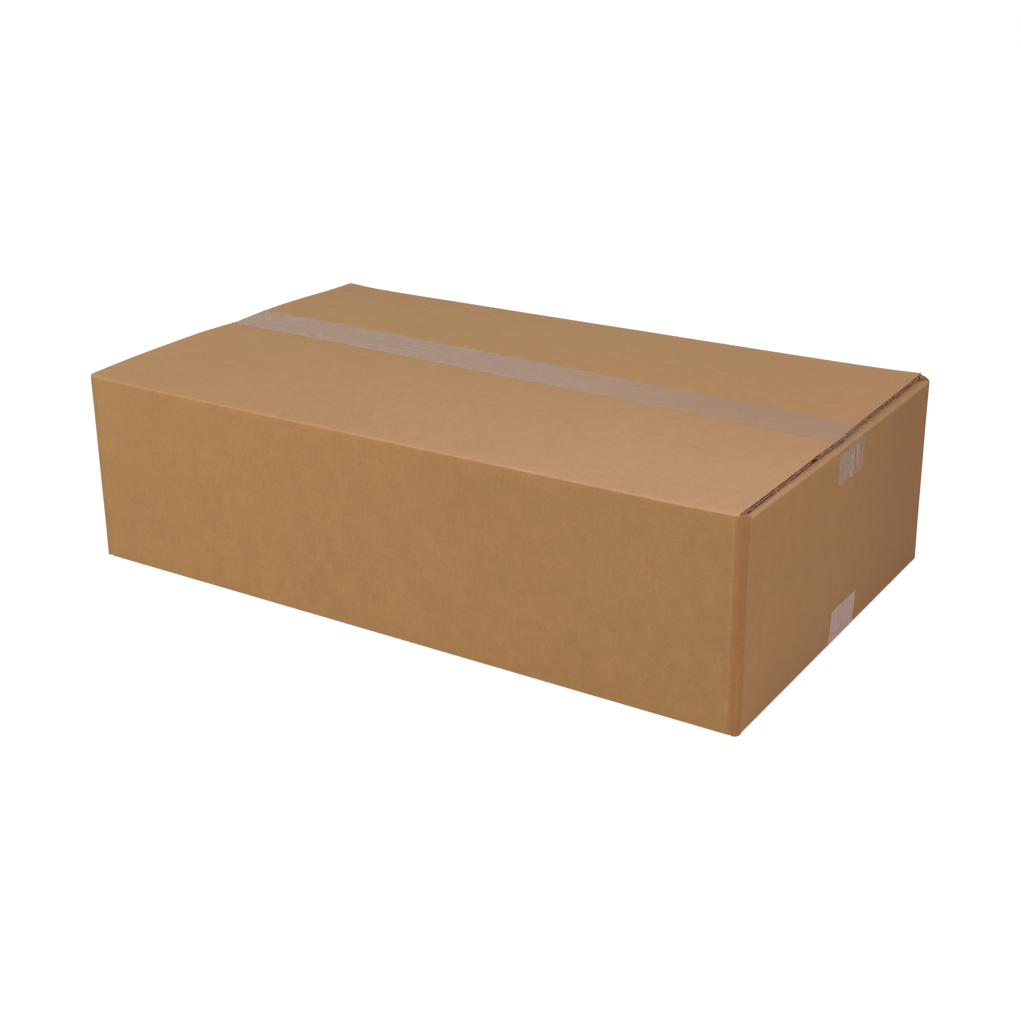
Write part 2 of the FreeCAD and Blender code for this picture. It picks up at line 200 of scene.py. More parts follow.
# %% [markdown]
# ## Rows up the sheet
#
# Going up a column, the sheet starts at the free end of a bottom flap, turns round the bottom fold,
# climbs the wall, turns round the top fold and ends at the free end of a top flap. Rows are named by
# these zones. The many rows of the top flaps are needed because their cut ends are torn and crushed
# at a scale of about a millimetre.

# %% Rows up the sheet
BASE_FLAP, BASE_FOLD, WALL, TOP_FOLD, TOP_FLAP = range(5)


def rows_up():
    """Every row as a zone and a share of the way through it."""
    base = (1, 0.98, 0.9, 0.82, 0.79, 0.76, 0.72, 0.6, 0.45, 0.3, 0.18, 0.1, 0.05, 0.02)
    rows = [(BASE_FLAP, share) for share in base]
    rows += [(BASE_FOLD, share) for share in (1, 0.8, 0.6, 0.4, 0.2)]
    rows += [(WALL, share) for share in (0, 0.015, 0.03, 0.05, 0.08, 0.12)]
    rows += [(WALL, share) for share in np.linspace(0.17, 0.87, 15)]
    rows += [(WALL, share) for share in (0.9, 0.93, 0.955, 0.975, 0.988, 1)]
    rows += [(TOP_FOLD, share) for share in (0.17, 0.33, 0.5, 0.67, 0.83, 1)]
    rows += [(TOP_FLAP, share) for share in (0.006, 0.012, 0.018, 0.024)]
    rows += [(TOP_FLAP, share) for share in np.linspace(0.031, 1, 144)]
    return rows


ROWS = rows_up()
print(len(ROWS), "rows up the sheet")

# %% [markdown]
# ## Where the flaps end
#
# The outer flaps are hinged on the long walls and stop a few millimetres short of the end walls. They
# were folded slightly askew, so on the right their cut ends run back from the corner towards the far
# side. The cut line is therefore a function of the place across the box.

# %% Cut ends of the outer flaps
LEFT_CUT = -305.4
RIGHT_CUT_FRONT = (300.5, 300.3)
RIGHT_CUT_BACK = (299.3, 297.3)
BASE_CUT = 299.4
END_FOLD = {
    1: ([-183.0, -125.0, -78.0, 7.0, 85.0, 140.0, 183.0], [164.2, 163.7, 163.1, 162.6, 162.2, 162.3, 162.6]),
    -1: ([-183.0, 7.0, 183.0], [162.3, 164.2, 162.4]),
}


def right_cut(y):
    """Where the right cut end of an outer flap lies."""
    if y <= SEAM_Y:
        return float(np.interp(y, (-HALF_WIDTH, SEAM_Y), RIGHT_CUT_FRONT))
    return float(np.interp(y, (SEAM_Y, HALF_WIDTH), RIGHT_CUT_BACK))


def end_fold_height(side, y):
    """Height of the fold between an end wall and its inner flap. Side 1 is the right end, -1 the left."""
    return curve_through(*END_FOLD[side], y)


print("right cut end:", [round(right_cut(y), 1) for y in (-180, 0, 180)])

# %% [markdown]
# ## Folding the sheet
#
# One function gives the outer face for any column and row, with its outward direction and the
# thickness of the board there. It handles a long wall and an end wall in the same way: both are
# drawn in a plane that holds the wall's outward direction and the vertical, and only then turned to
# their side. Board is crushed where it folds, so it is thinner there.

# %% Helpers for the folds
CRUSHED = 1.7
CRUSH_RUN = 6.0
SHOULDER = 8.0
FOLD_INSET = 0.2
FOLD_PULL = 4.0
LONG_FOOT = 0.05
END_FOOT = 0.5
KNOB_RISE = 1.4
PLAIN_FOOT = 1.0
STRIP_HALF = 35.0
STRIP_SLOPE = 10.0
STRIP_LIFT = 0.5
UNDER_GAP = 0.15
BASE_GAP = 0.3
BASE_RUN = 2.0


def ease(share):
    """A smooth step from 0 to 1."""
    share = min(max(share, 0.0), 1.0)
    return share * share * (3 - 2 * share)


def home_wall(spot):
    """The wall that a column's flaps hang on. The middle of a corner goes with the long wall."""
    if spot["wall"] != CORNER:
        return spot["wall"]
    before, following = spot["before"], (spot["before"] + 1) % 4
    if before in (FRONT, BACK):
        return before if spot["along"] <= ARC_STEPS / 2 else following
    return following if spot["along"] >= ARC_STEPS / 2 else before


def is_long(spot):
    """True where a column's flaps hang on a long wall."""
    return home_wall(spot) in (FRONT, BACK)


def has_top_flap(spot):
    """True where the sheet goes on from the wall into a top flap."""
    home = home_wall(spot)
    if home == FRONT:
        return spot["x"] <= RIGHT_CUT_FRONT[0] + 0.01
    if home == BACK:
        return spot["x"] <= RIGHT_CUT_BACK[1] + 0.01
    return spot["wall"] != CORNER and abs(spot["along"]) < FLAT_Y - 1


def has_base_flap(spot):
    """True where the sheet goes on from the wall into a bottom flap."""
    half = FLAT_X if spot["wall"] in (FRONT, BACK) else FLAT_Y
    return spot["wall"] != CORNER and abs(spot["along"]) < half - 1


print(sum(map(has_top_flap, COLUMNS)), "columns with a top flap")
print(sum(map(has_base_flap, COLUMNS)), "columns with a bottom flap")


# %% Top of each column's wall
CORNER_START = {"front": -0.3, "back": 1.6}
CORNER_DROP = {"front": 1.8, "back": 4.0}
CORNER_FALL = 5.0
CORNER_RISE = 1.2
ROUND_PART = 1.5


def wall_top(spot):
    """Height where a column's wall ends: at its top fold, or at the slot that is cut at a corner."""
    wall = home_wall(spot)
    edge = HALF_WIDTH if spot["y"] > 0 else -HALF_WIDTH
    if not has_top_flap(spot):
        end = "back" if spot["y"] > 0 else "front"
        flap_x = RIGHT_CUT_BACK[1] if end == "back" else RIGHT_CUT_FRONT[0]
        past_flap = min(max((abs(spot["x"]) - flap_x) / (HALF_LENGTH - flap_x), 0), 1)
        proud = lid_height(spot["x"], edge) - CORNER_START[end] - CORNER_DROP[end] * past_flap
        low = end_fold_height(math.copysign(1, spot["x"]), spot["y"])
        past_arc = abs(spot["x"]) - (HALF_LENGTH - ROUND_PART)
        return proud + (low - proud) * 0.6 * ease(past_arc / ROUND_PART)
    if wall in (FRONT, BACK):
        return lid_height(spot["x"], edge) - FOLD_RADIUS
    side = 1 if wall == RIGHT else -1
    rise = ease((abs(spot["y"]) - (FLAT_Y - CORNER_FALL)) / CORNER_FALL)
    return end_fold_height(side, spot["y"]) - FOLD_RADIUS + CORNER_RISE * rise


WALL_TOPS = [wall_top(spot) for spot in COLUMNS]
print("wall tops from", round(min(WALL_TOPS), 1), "to", round(max(WALL_TOPS), 1), "mm")


# %% The folded sheet, point by point
BROAD_DENT = 0.4
SMALL_DENT = 0.03
LEAST_INSET = 0.04


def wall_point(spot, z):
    """A point of the outer face of a wall. Shallow dents and the slack of a large flat wall push it in."""
    place = Vector((spot["x"], spot["y"], z))
    calm = ease(min(z, 165 - z) / 40)
    broad = 0.5 + 0.5 * noise.noise(place / 85)
    fine = noise.noise(place / 27 + Vector((3, 1, 7)))
    inset = BROAD_DENT * calm * broad + LEAST_INSET + SMALL_DENT * fine
    return Vector((spot["x"] - inset * spot["nx"], spot["y"] - inset * spot["ny"], z))


def hinge(spot):
    """Place along the wall and outward reach of the line on which a column's flaps are hinged.

    At a corner the line bends back with the rounded crease.
    """
    wall = home_wall(spot)
    along = {FRONT: spot["x"], RIGHT: spot["y"], BACK: -spot["x"], LEFT: -spot["y"]}[wall]
    reach = HALF_WIDTH if wall in (FRONT, BACK) else HALF_LENGTH
    if spot["wall"] == CORNER:
        reach = spot["reach"] if wall == spot["before"] else spot["next_reach"]
    return wall, along, reach - FOLD_INSET


def turned(wall, along, out, z):
    """A point given along and out from a wall, as a point of the box."""
    turn = wall * math.pi / 2
    x = along * math.cos(turn) + out * math.sin(turn)
    y = along * math.sin(turn) - out * math.cos(turn)
    return x, y, z


def flap_line(spot, share):
    """A flap's wall, and how far out, along x and along y a point of it lies, before it is bent.

    The share runs from 0 at the fold to 1 at the free end.
    """
    wall, along, reach = hinge(spot)
    start = reach - FOLD_RADIUS
    if wall in (RIGHT, LEFT):
        run = share * (FLAP_DEPTH - FOLD_RADIUS)
        x, y, _ = turned(wall, along, start - run, 0)
        return wall, run, x, y
    side = -1 if wall == FRONT else 1
    y_end = SEAM_Y + side * SEAM_GAP / 2
    return wall, 0, spot["x"], side * start + share * (y_end - side * start)


def top_flap_point(spot, share):
    """A point of the top face of a top flap."""
    wall, run, x, y = flap_line(spot, share)
    if wall in (RIGHT, LEFT):
        under_lid = lid_height(x, y) - BOARD - UNDER_GAP
        fold_z = wall_top(spot) + FOLD_RADIUS
        return x, y, fold_z + (under_lid - fold_z) * ease(run / SHOULDER)
    side = -1 if wall == FRONT else 1
    stretch = (right_cut(y) - LEFT_CUT) / (right_cut(side * HALF_WIDTH) - LEFT_CUT)
    x = LEFT_CUT + (x - LEFT_CUT) * stretch
    return x, y, lid_height(x, y)


def base_flap_point(spot, share):
    """A point of the lower face of a bottom flap."""
    wall, run, x, y = flap_line(spot, share)
    if wall in (RIGHT, LEFT):
        return x, y, END_FOOT + ease(run / BASE_RUN) * (BOARD + BASE_GAP - END_FOOT)
    strip = STRIP_HALF + STRIP_SLOPE - abs(y - SEAM_Y)
    return x * BASE_CUT / (FLAT_X - 1.1), y, STRIP_LIFT * ease(strip / STRIP_SLOPE)


def foot_height(spot):
    """Height of a column's lowest point. The front right crease ends in a small knob on the floor."""
    if has_base_flap(spot):
        return FOLD_RADIUS + (LONG_FOOT if is_long(spot) else END_FOOT)
    if spot["wall"] != CORNER or spot["before"] != FRONT:
        return PLAIN_FOOT if spot["wall"] == CORNER else KNOB_RISE
    return KNOB_RISE * abs(2 * spot["along"] / ARC_STEPS - 1) ** 2.5


def wall_sheet(spot, share, top, foot):
    """Outer point, outward direction and thickness of the board on a wall. Near a fold it is crushed."""
    wall, along, reach = hinge(spot)
    z = foot + share * (top - foot)
    above = z - top if has_top_flap(spot) else -HALF_WIDTH
    below = foot - z if has_base_flap(spot) else -HALF_WIDTH
    nearest = max(above, below)
    pull = ease(1 + nearest / FOLD_PULL)
    crush = ease(1 + nearest / CRUSH_RUN)
    point = wall_point(spot, z).lerp(Vector(turned(wall, along, reach, z)), pull)
    normal = Vector((spot["nx"], spot["ny"], 0)).lerp(Vector(turned(wall, 0, 1, 0)), pull).normalized()
    return point, normal, BOARD + crush * (CRUSHED - BOARD)


def sheet_point(n, zone, share):
    """Outer point, outward direction and thickness of the board at one column and row."""
    spot = COLUMNS[n]
    top, foot = WALL_TOPS[n], foot_height(spot)
    if zone == WALL:
        return wall_sheet(spot, share, top, foot)
    is_top = zone in (TOP_FOLD, TOP_FLAP)
    flap_point = top_flap_point if is_top else base_flap_point
    outward = Vector((0, 0, 1 if is_top else -1))
    if zone in (TOP_FLAP, BASE_FLAP):
        return Vector(flap_point(spot, share)), outward, CRUSHED + ease(share * 12) * (BOARD - CRUSHED)
    wall, along, reach = hinge(spot)
    angle = share * math.pi / 2
    start_z = top if is_top else foot
    x, y, _ = turned(wall, along, reach - FOLD_RADIUS + FOLD_RADIUS * math.cos(angle), 0)
    z = start_z + (flap_point(spot, 0)[2] - start_z) * math.sin(angle)
    normal = Vector(turned(wall, 0, 1, 0)) * math.cos(angle) + outward * math.sin(angle)
    return Vector((x, y, z)), normal, CRUSHED


def fold_sheet():
    """Outer and inner faces of the whole sheet, as arrays of rows by columns."""
    outer = np.zeros((len(ROWS), len(COLUMNS), 3))
    inner = np.zeros_like(outer)
    for i, (zone, share) in enumerate(ROWS):
        for j, spot in enumerate(COLUMNS):
            if zone in (TOP_FOLD, TOP_FLAP) and not has_top_flap(spot):
                continue
            if zone in (BASE_FOLD, BASE_FLAP) and not has_base_flap(spot):
                continue
            point, normal, thickness = sheet_point(j, zone, share)
            outer[i, j] = point
            inner[i, j] = point - normal * thickness
    return outer, inner


OUTER, INNER = fold_sheet()
print("folded sheet:", OUTER.shape[0] * OUTER.shape[1], "points on each face")

# %% [markdown]
# ## From points to a closed mesh
#
# The sheet isn't a plain grid, because slots are cut between its flaps. A table of cells says where
# there is board. Each cell becomes a face on the outside and one on the inside, and every edge that
# only one cell uses is part of the rim, which closes the thickness. Along the cut ends of the top
# flaps the rim isn't flat: it steps in and out like a comb, so that three paper liners stand out and
# two dark channels lie open between them, as on real double-wall board.


# %% Closed sheets
SHARP_DEGREES = 38


def close_sheet(name, outer, inner, cells, wraps=False, rim_points=lambda i, j: [], marks=None):
    """Make a closed mesh from two faces in millimetres.

    rim_points gives the points between the faces at a row and column. marks holds functions that
    give a number for a kind of point, its row and its column. The numbers are kept on the mesh for
    its material.
    """
    rows, columns = outer.shape[:2]
    numbers = {}
    points = []

    def number(kind, i, j, point):
        key = (kind, i, j)
        if key not in numbers:
            numbers[key] = len(points)
            points.append(point)
        return numbers[key]

    faces = []
    edges = {}
    for i in range(rows - 1):
        for j in range(columns if wraps else columns - 1):
            if not cells[i, j]:
                continue
            right = (j + 1) % columns
            ring = [(i, j), (i, right), (i + 1, right), (i + 1, j)]
            faces.append([number("outer", *spot, outer[spot]) for spot in ring])
            faces.append([number("inner", *spot, inner[spot]) for spot in ring[::-1]])
            for a, b in zip(ring, ring[1:] + ring[:1]):
                edges[(a, b)] = edges.get((a, b), 0) + 1
    sheet_faces = len(faces)
    rims = [(a, b) for a, b in edges if (b, a) not in edges]
    for a, b in rims:
        levels = []
        for spot in (a, b):
            middle = [number(f"rim{k}", *spot, point) for k, point in enumerate(rim_points(*spot))]
            levels.append([number("outer", *spot, outer[spot]), *middle, number("inner", *spot, inner[spot])])
        for k in range(len(levels[0]) - 1):
            faces.append([levels[1][k], levels[0][k], levels[0][k + 1], levels[1][k + 1]])
    mesh = bpy.data.meshes.new(name)
    mesh.from_pydata([tuple(point * MM for point in spot) for spot in points], [], faces)
    mesh.polygons.foreach_set("material_index", [int(n >= sheet_faces) for n in range(len(faces))])
    for mark, value_at in (marks or {}).items():
        layer = mesh.attributes.new(mark, "FLOAT", "POINT")
        layer.data.foreach_set("value", [float(value_at(*key)) for key in numbers])
    mesh.shade_smooth()
    mesh.set_sharp_from_angle(angle=math.radians(SHARP_DEGREES))
    piece = bpy.data.objects.new(name, mesh)
    bpy.context.scene.collection.objects.link(piece)
    print(name, "has", len(mesh.polygons), "faces")
    return piece


# %% Cells of the carton
def carton_cells():
    """Where there is board: everywhere but in the slots between two flaps."""
    cells = np.zeros((len(ROWS) - 1, len(COLUMNS)), bool)
    for j, spot in enumerate(COLUMNS):
        following = COLUMNS[(j + 1) % len(COLUMNS)]
        same_flap = home_wall(spot) == home_wall(following)
        top = has_top_flap(spot) and has_top_flap(following) and same_flap
        base = has_base_flap(spot) and has_base_flap(following) and same_flap
        for i in range(len(ROWS) - 1):
            zone, next_zone = ROWS[i][0], ROWS[i + 1][0]
            if zone in (BASE_FLAP, BASE_FOLD):
                cells[i, j] = base
            elif next_zone in (TOP_FOLD, TOP_FLAP):
                cells[i, j] = top
            else:
                cells[i, j] = True
    return cells


CELLS = carton_cells()
print(int(CELLS.sum()), "cells of board")

# %% Marks for the paper's material
WALL_HEIGHT = 160.0
FLAP_RUN = FLAP_DEPTH - FOLD_RADIUS
FOLD_RUN = 4
WEAR_AND_HIGHLIGHT_REACH = 2.2
LEFT_CREASE_PAINT = 0.25
LID_SHEEN = 0.04
FRONT_RIGHT_SHEEN = 0.055
SHOULDER_TONE = 0.5


def sheet_tables():
    """For each row and column: how far it lies round and up the flat sheet, in metres, its wear and painted
    highlight near the folds, and the marks that tint its brown.
    """
    shape = OUTER.shape[:2]
    round_box = np.zeros(len(COLUMNS))
    for j in range(1, len(COLUMNS)):
        before, spot = COLUMNS[j - 1], COLUMNS[j]
        round_box[j] = round_box[j - 1] + math.hypot(spot["x"] - before["x"], spot["y"] - before["y"])
    starts = {
        BASE_FLAP: (-FOLD_RUN, -FLAP_RUN),
        BASE_FOLD: (0, -FOLD_RUN),
        WALL: (0, WALL_HEIGHT),
        TOP_FOLD: (WALL_HEIGHT, FOLD_RUN),
        TOP_FLAP: (WALL_HEIGHT + FOLD_RUN, FLAP_RUN),
    }
    up_sheet = [starts[zone][0] + share * starts[zone][1] for zone, share in ROWS]
    fold_wear_and_highlight = np.zeros(shape)
    creased = np.zeros(shape)
    for i, (zone, share) in enumerate(ROWS):
        near_fold = {
            WALL: min(share, 1 - share) * WALL_HEIGHT,
            TOP_FLAP: share * FLAP_RUN,
            BASE_FLAP: share * FLAP_RUN,
        }
        # Lighter near the folds: partly wear, partly a painted highlight along the fold.
        fold_wear_and_highlight[i] = math.exp(-near_fold.get(zone, 0) / WEAR_AND_HIGHLIGHT_REACH)
        # Painted shade and painted highlight lines on the upright creases, weaker at the left end.
        if zone == WALL:
            for j, spot in enumerate(COLUMNS):
                strength = 1.0 if spot["x"] > 0 else LEFT_CREASE_PAINT
                creased[i, j] = strength * painted_crease_shade(spot["to_crease"], share)
    return {
        "round_box": np.tile(round_box * MM, (shape[0], 1)),
        "up_sheet": np.tile(np.array(up_sheet)[:, None] * MM, (1, shape[1])),
        "fold_wear_and_highlight": fold_wear_and_highlight,
        "creased": creased,
        "lid_painted_sheen": painted_sheen_on_lid(),
        "painted_shade_and_shoulder_tone": painted_wall_shade(FRONT),
        "end_wall_painted_shade": painted_wall_shade(RIGHT),
    }


def painted_sheen_on_lid():
    """How much pale painted sheen the lid takes, most at its front right."""
    lid_painted_sheen = np.zeros(OUTER.shape[:2])
    for i, (zone, share) in enumerate(ROWS):
        if zone in (TOP_FLAP, TOP_FOLD):
            for j, spot in enumerate(COLUMNS):
                to_right = ease((OUTER[i, j, 0] + 300) / 600)
                to_front = ease((60 - OUTER[i, j, 1]) / 200)
                lid_painted_sheen[i, j] = LID_SHEEN + FRONT_RIGHT_SHEEN * to_right * to_front
    return lid_painted_sheen


def painted_wall_shade(wall):
    """How much painted shade a wall takes: the front wall darker towards the right end, the right end wall
    darker and redder towards the back. The board just outside the cut ends of the lid is darker too."""
    painted_shade_and_shoulder_tone = np.zeros(OUTER.shape[:2])
    for j, spot in enumerate(COLUMNS):
        # Painted shade of light falling off along the front wall, less on the crease, which has its own.
        if wall == FRONT and home_wall(spot) == FRONT:
            painted_shade_and_shoulder_tone[:, j] = ease((spot["x"] + 150) / 480) * (1 - 0.7 * painted_crease_dark(spot["to_crease"]))
        elif wall == RIGHT and home_wall(spot) == RIGHT:
            painted_shade_and_shoulder_tone[:, j] = ease((spot["y"] + 60) / 240)
    painted_shade_and_shoulder_tone *= np.array([zone == WALL for zone, share in ROWS])[:, None]
    if wall == FRONT:
        ends = [home_wall(spot) in (RIGHT, LEFT) for spot in COLUMNS]
        for i, (zone, share) in enumerate(ROWS):
            if zone in (TOP_FLAP, TOP_FOLD):
                painted_shade_and_shoulder_tone[i, ends] = SHOULDER_TONE
    return painted_shade_and_shoulder_tone


def painted_crease_dark(distance):
    """1 on an upright crease, where painted shade darkens it, and 0 away from it."""
    half_width = 7.6 if distance < 0 else 5.0
    return ease((half_width - abs(distance)) / 1.4)


def painted_crease_shade(distance, share):
    """How much painted shade the paper takes near an upright crease, with a painted highlight line beside it
    and a painted highlight on a ridge low down.
    """
    pale = math.exp(-(((distance + 8.4) / 0.8) ** 2))
    ridge = math.exp(-(((distance + 1.0) / 0.9) ** 2)) * ease((0.5 - share) / 0.3)
    return painted_crease_dark(distance) - 0.35 * pale - 0.75 * ridge


TABLES = sheet_tables()
print("marks on the sheet:", ", ".join(TABLES))


# %% Rim of the carton
CHANNEL_DEPTH = 9.0
LINER = 0.13
MIDDLE_LINER = (0.45, 0.58)
TEAR_Y = -51.0
TEAR_WIDTH = 3.2
CRUSHED_DEPTH = 0.4
SLOT_SHADE = 0.08
LINER_TEARS = ((1.3, 0.5), (4.1, 1.3), (7.7, 0.9))
SET_BACK = {"rim1": 1.4, "rim2": 1.4, "rim5": 6.8, "rim6": 6.8}


def ragged(place, seed, size):
    """A small uneven push along a torn edge."""
    slow = noise.noise(Vector((place / 9.0, seed, 0.5)))
    quick = noise.noise(Vector((place / 2.3, seed, 9.5)))
    return size * (0.6 * slow + 0.6 * quick)


def torn(y):
    """1 in the middle of the torn spot of the right cut end, and 0 away from it."""
    return math.exp(-(((y - TEAR_Y) / TEAR_WIDTH) ** 2))


def channel_depth(i, j, seed):
    """Depth of one of the two channels in the rim. Where the knife crushed the board it is nearly shut."""
    zone, share = ROWS[i]
    if zone != TOP_FLAP or not is_long(COLUMNS[j]):
        return 0.0
    ends = ease((share - 0.004) / 0.03) * ease((1 - share) / 0.012)
    is_open = ease((noise.noise(Vector((OUTER[i, j, 1] / 2.6, seed, 6.1))) + 0.12) / 0.12)
    where_thin = 0.3 + 0.7 * ease((share - 0.04) / 0.06)
    return ends * where_thin * (CRUSHED_DEPTH + (CHANNEL_DEPTH - CRUSHED_DEPTH) * is_open)


def comb_rim(i, j):
    """Points down the rim at a row and column: liners at the cut, with the two channels set back."""
    upper, lower = (channel_depth(i, j, seed) for seed in (SET_BACK["rim1"], SET_BACK["rim5"]))
    whole = min(upper, 1)
    start, end = OUTER[i, j], INNER[i, j]
    inward = np.array((-np.sign(start[0]), 0.0, 0.0))
    y = start[1]
    tears = [abs(ragged(y, seed, size)) * whole for seed, size in LINER_TEARS]
    if start[0] > 0:
        tears[0] += 1.6 * torn(y) * whole
        tears[1] += 5.0 * torn(y + 1.5) * whole
    steps = (
        (LINER, tears[0]),
        (LINER, max(upper, tears[0])),
        (MIDDLE_LINER[0], max(upper, tears[1])),
        (MIDDLE_LINER[0], tears[1]),
        (MIDDLE_LINER[1], tears[1]),
        (MIDDLE_LINER[1], max(lower, tears[1])),
        (1 - LINER, max(lower, tears[2])),
        (1 - LINER, tears[2]),
    )
    return [start + (end - start) * down + inward * back for down, back in steps]


def rim_shade(kind, i, j):
    """How deep a point of the rim lies, from 0 to 1, which sets its painted shade. The rims of the slots get
    painted shade between their liners.
    """
    if ROWS[i][0] == WALL and kind.startswith("rim"):
        return SLOT_SHADE
    return channel_depth(i, j, SET_BACK[kind]) / CHANNEL_DEPTH if kind in SET_BACK else 0


def carton_marks():
    """The marks of the carton: its tables, and how deep a point lies in the channels of the rim."""
    marks = {name: lambda kind, i, j, table=table: table[i, j] for name, table in TABLES.items()}
    marks["deep"] = rim_shade
    return marks


carton = close_sheet("carton_board", OUTER, INNER, CELLS, True, comb_rim, carton_marks())
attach(carton, "root")
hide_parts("carton")

# %% [markdown]
# ## The fluted papers in the cut ends
#
# Between the three liners of double-wall board run two fluted papers. Their waves lie along the flap,
# side by side with its cut end, so the cut shows one long wall of a wave that wanders from liner to
# liner. Where the knife was blunt the papers are crumpled into zigzags, and at one spot a piece is torn
# out. Each paper is a thin wavy sheet, a few waves wide, pushed about near the cut.

# %% Fluted papers
FLUTE_PITCH = 6.2
FLUTE_PAPER = 0.28
PAPER_INSET = 0.6
FLUTE_WIDTH = 9.4
NEAR_CUT = 2.2
PAPER_ENDS = (-174.0, 172.0)
PAPER_STEP = 0.75
CHANNELS = {"upper": (LINER, MIDDLE_LINER[0], 0.0), "lower": (MIDDLE_LINER[1], 1 - LINER, 2.1)}
LIE = {"upper": -0.5, "lower": 0.15}
ROUGH_SPOTS = ((-40.0, 14.0), (60.0, 26.0), (125.0, 34.0))


def rough(y):
    """1 in the middle of the spots where the knife was blunt, and 0 away from them."""
    return sum(math.exp(-(((y - place) / width) ** 2)) for place, width in ROUGH_SPOTS)


def paper_push(channel, x, y, inset, seed):
    """How far up or down in its channel a fluted paper lies, from -1 to 1."""
    wave = math.sin(2 * math.pi * x / FLUTE_PITCH + seed)
    near = math.exp(-inset / NEAR_CUT)
    slow = noise.noise(Vector((y / 13.0, seed, 2.5)))
    quick = noise.noise(Vector((y / 1.7, seed, inset / 3)))
    at_cut = LIE[channel] + 0.6 * slow + (0.9 + 1.5 * rough(y)) * quick
    return min(max(wave * (1 - near) + at_cut * near, -1), 1)


def fluted_paper(name, side, channel):
    """One fluted paper in the right or left cut ends of both outer flaps."""
    top_share, low_share, phase = CHANNELS[channel]
    swing = (low_share - top_share) * BOARD / 2 - FLUTE_PAPER / 2 - 0.03
    insets = np.linspace(0.35, FLUTE_WIDTH, 19)
    if side > 0:
        insets = insets[::-1]
    across = np.arange(*PAPER_ENDS, PAPER_STEP)
    outer = np.zeros((len(across), len(insets), 3))
    inner = np.zeros_like(outer)
    for i, y in enumerate(across):
        cut = right_cut(y) if side > 0 else LEFT_CUT
        frayed = PAPER_INSET * (1 - rough(y)) + 0.8 * abs(ragged(y, phase + 5, 1.0))
        frayed += 4.0 * torn(y) if side > 0 else 0
        for j, inset in enumerate(insets):
            x = cut - side * (inset + frayed)
            push = paper_push(channel, x, y, inset, phase + side)
            middle = lid_height(x, y) - BOARD * (top_share + low_share) / 2 + swing * push
            outer[i, j] = x, y, middle + FLUTE_PAPER / 2
            inner[i, j] = x, y, middle - FLUTE_PAPER / 2
    cells = np.ones((len(across) - 1, len(insets) - 1), bool)
    for i in range(len(across) - 1):
        if across[i] < SEAM_Y + 1 and across[i + 1] > SEAM_Y - 1:
            cells[i] = False
    # Painted shade on the fluted papers, deeper further in from the cut.
    marks = {"deep": lambda kind, i, j: insets[j] / FLUTE_WIDTH}
    paper = close_sheet(name, outer, inner, cells, marks=marks)
    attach(paper, "root")
    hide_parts("carton")
    return paper


FLUTES = [
    fluted_paper(f"fluted_paper_{end}_{channel}", side, channel)
    for end, side in (("right", 1), ("left", -1))
    for channel in CHANNELS
]

# %% [markdown]
# ## The tape
#
# The tape is clear film, laid along the seam and pulled down over both end walls. It is stiff, so at
# the cut ends it spans from the lid to the fold below like a small bridge. It was laid a little
# askew. Its path is drawn once in the box's long section, and the film follows the board's own face
# at every point of it, a fraction of a millimetre off.

# %% Paths of the tapes
TAPE_WIDTH = 48.6
FILM_POINTS = 66
FILM = 0.05
FILM_LIFT = 0.08
LID_LIFT = 0.2
TOP_TAPE_END = {1: 132.8, -1: 134.5}
END_SKEW = 0.038
BASE_TAPE_END = {1: 29.0, -1: 27.5}
FOLD_REACH = HALF_LENGTH - FOLD_INSET
TURN_DEGREES = 42
SAG = 0.3
BOARD_FACES = BVHTree.FromPolygons(
    [corner.co.copy() for corner in carton.data.vertices],
    [list(face.vertices) for face in carton.data.polygons],
)


def tape_stations(tail_count, bridges, middle):
    """Stations of a tape, from its left end to its right one: a kind, a side and a share of the way."""
    end = [("tail", share) for share in np.linspace(0, 1, tail_count)]
    end += [("turn", share) for share in (0.2, 0.4, 0.6, 0.8, 1)]
    end += [("bridge", share) for share in bridges]
    left, right = ([(kind, side, share) for kind, share in end] for side in (-1, 1))
    return left + middle + right[::-1]


def board_top(x, y):
    """Height of the lid's real mesh, except over the seam, which the film spans."""
    hit = BOARD_FACES.ray_cast(Vector((x, y, 300)) * MM, Vector((0, 0, -1)))[0]
    smooth = lid_height(x, y)
    return hit.z / MM if hit and abs(hit.z / MM - smooth) < 0.5 else smooth


def board_end(side, y, z):
    """Reach of an end wall's real mesh at a height."""
    hit = BOARD_FACES.ray_cast(Vector((side * 400, y, z)) * MM, Vector((-side, 0, 0)))[0]
    return abs(hit.x) / MM


def on_lid(share, y):
    """A point of the lid under the tape, a share of the way from the left cut to the right one."""
    x = LEFT_CUT + share * (right_cut(y) - LEFT_CUT)
    return x, board_top(min(max(x, LEFT_CUT + 0.05), right_cut(y) - 0.1), y)


